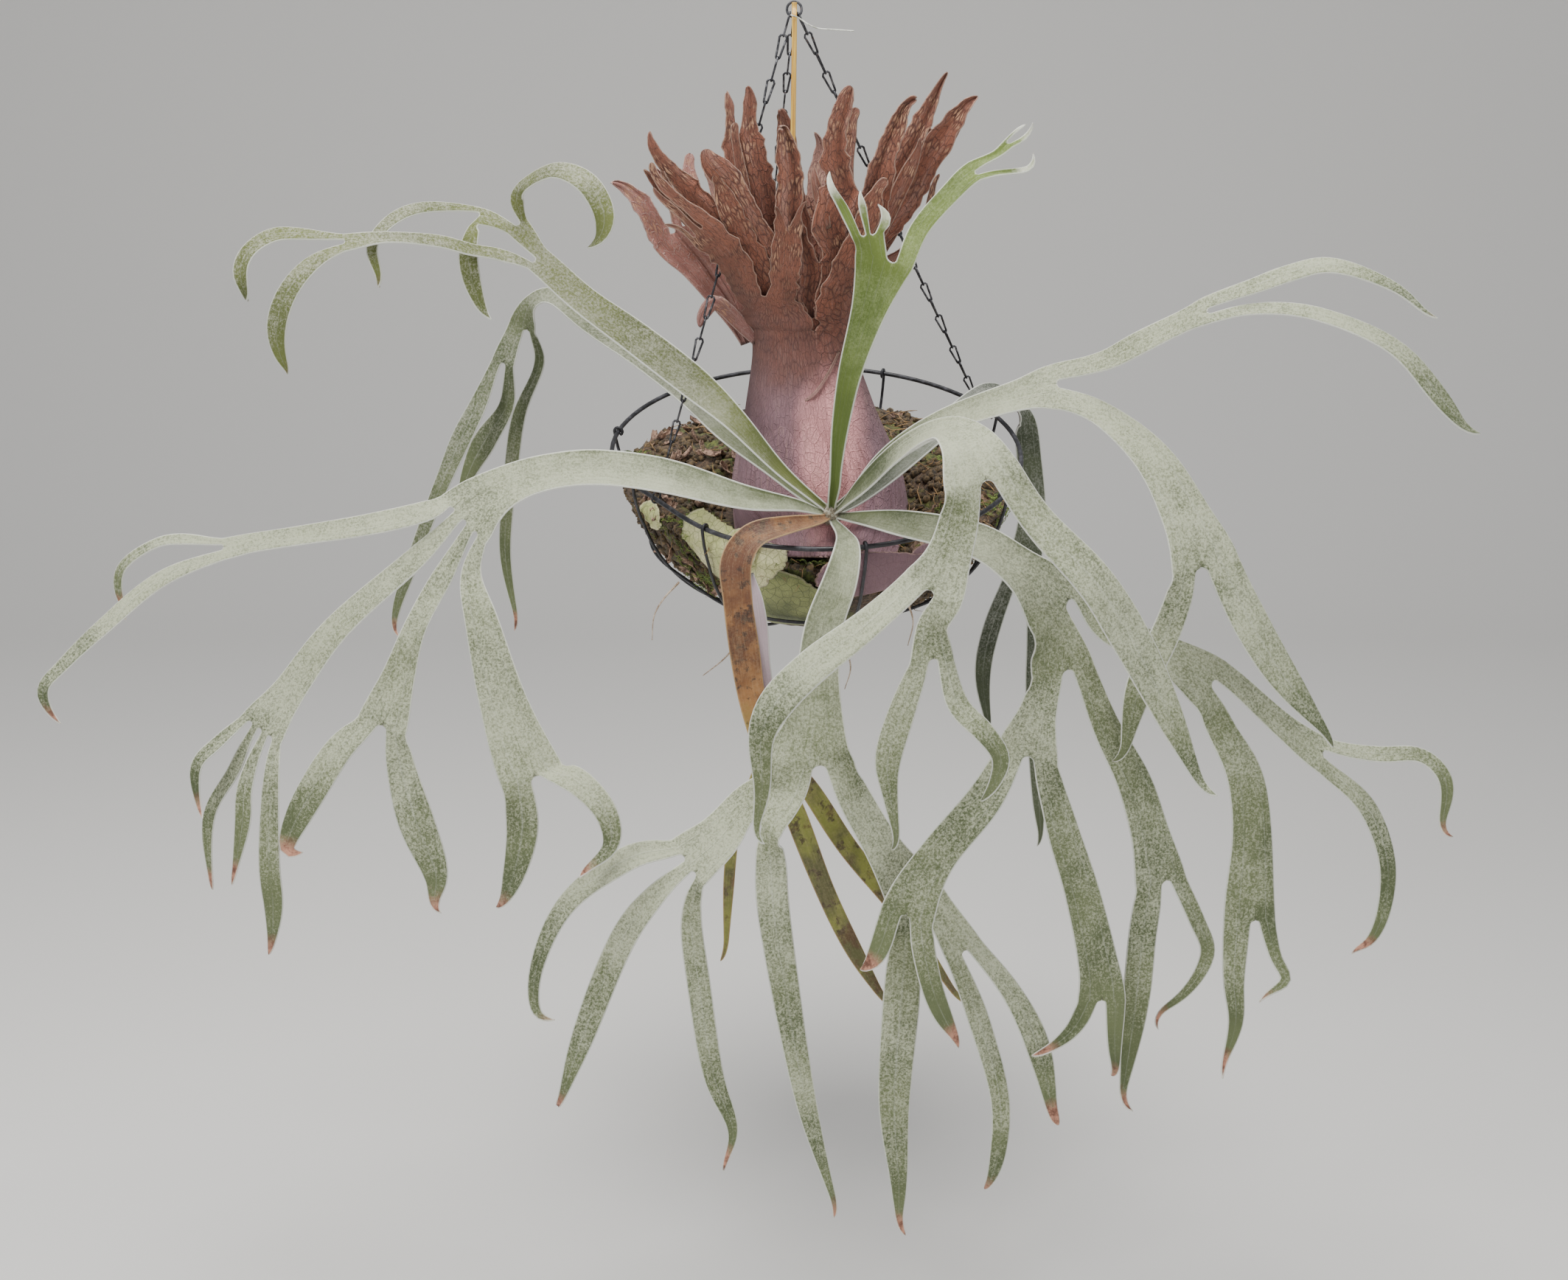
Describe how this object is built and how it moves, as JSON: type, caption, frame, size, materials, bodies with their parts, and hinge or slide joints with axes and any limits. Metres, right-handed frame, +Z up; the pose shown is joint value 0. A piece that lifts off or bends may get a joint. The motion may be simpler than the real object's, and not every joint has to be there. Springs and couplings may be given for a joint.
{
  "type": "potted fern",
  "caption": "Staghorn fern in a chain-hung wire basket: broad antler-shaped fronds that fork and droop, papery upright shield fronds and a mossy root ball.",
  "frame": {"origin": "centre of the eye of the hanging ring at the top", "axes": "+Z up, -Y towards the plant's front, +X to the right seen from the front"},
  "size_m": [1.1058, 0.4819, 0.9827],
  "materials": {
    "leaf": "matte, felted",
    "leaf_brown": "matte, dry",
    "shield_paper": "matte, papery",
    "shield_pale": "matte",
    "moss": "matte",
    "dark_wire": "satin",
    "cane": "satin",
    "tie": "satin"
  },
  "bodies": {
    "root": {"hang_ring": "dark_wire", "chain_left": "dark_wire", "chain_back": "dark_wire", "chain_right": "dark_wire", "wire_basket": "dark_wire", "cane_strip": "cane", "tie_wire": "tie", "root_ball": "moss", "frond_up_left": "leaf", "frond_back_left": "leaf", "frond_left": "leaf", "frond_centre": "leaf", "frond_front": "leaf", "frond_upper_right": "leaf", "frond_lower_right": "leaf", "frond_upright": "leaf", "frond_back_right": "leaf", "bud": "leaf", "frond_brown": "leaf_brown", "shield_front": "shield_paper", "shield_inner": "shield_paper", "shield_right": "shield_paper", "shield_pink": "shield_paper", "shield_curl": "shield_paper", "shield_back": "shield_paper", "shield_apron": "shield_paper", "shield_young_right": "shield_paper", "shield_young_left": "shield_pale", "shield_young_front": "shield_pale", "shield_tan": "shield_pale"}
  },
  "joints": []
}
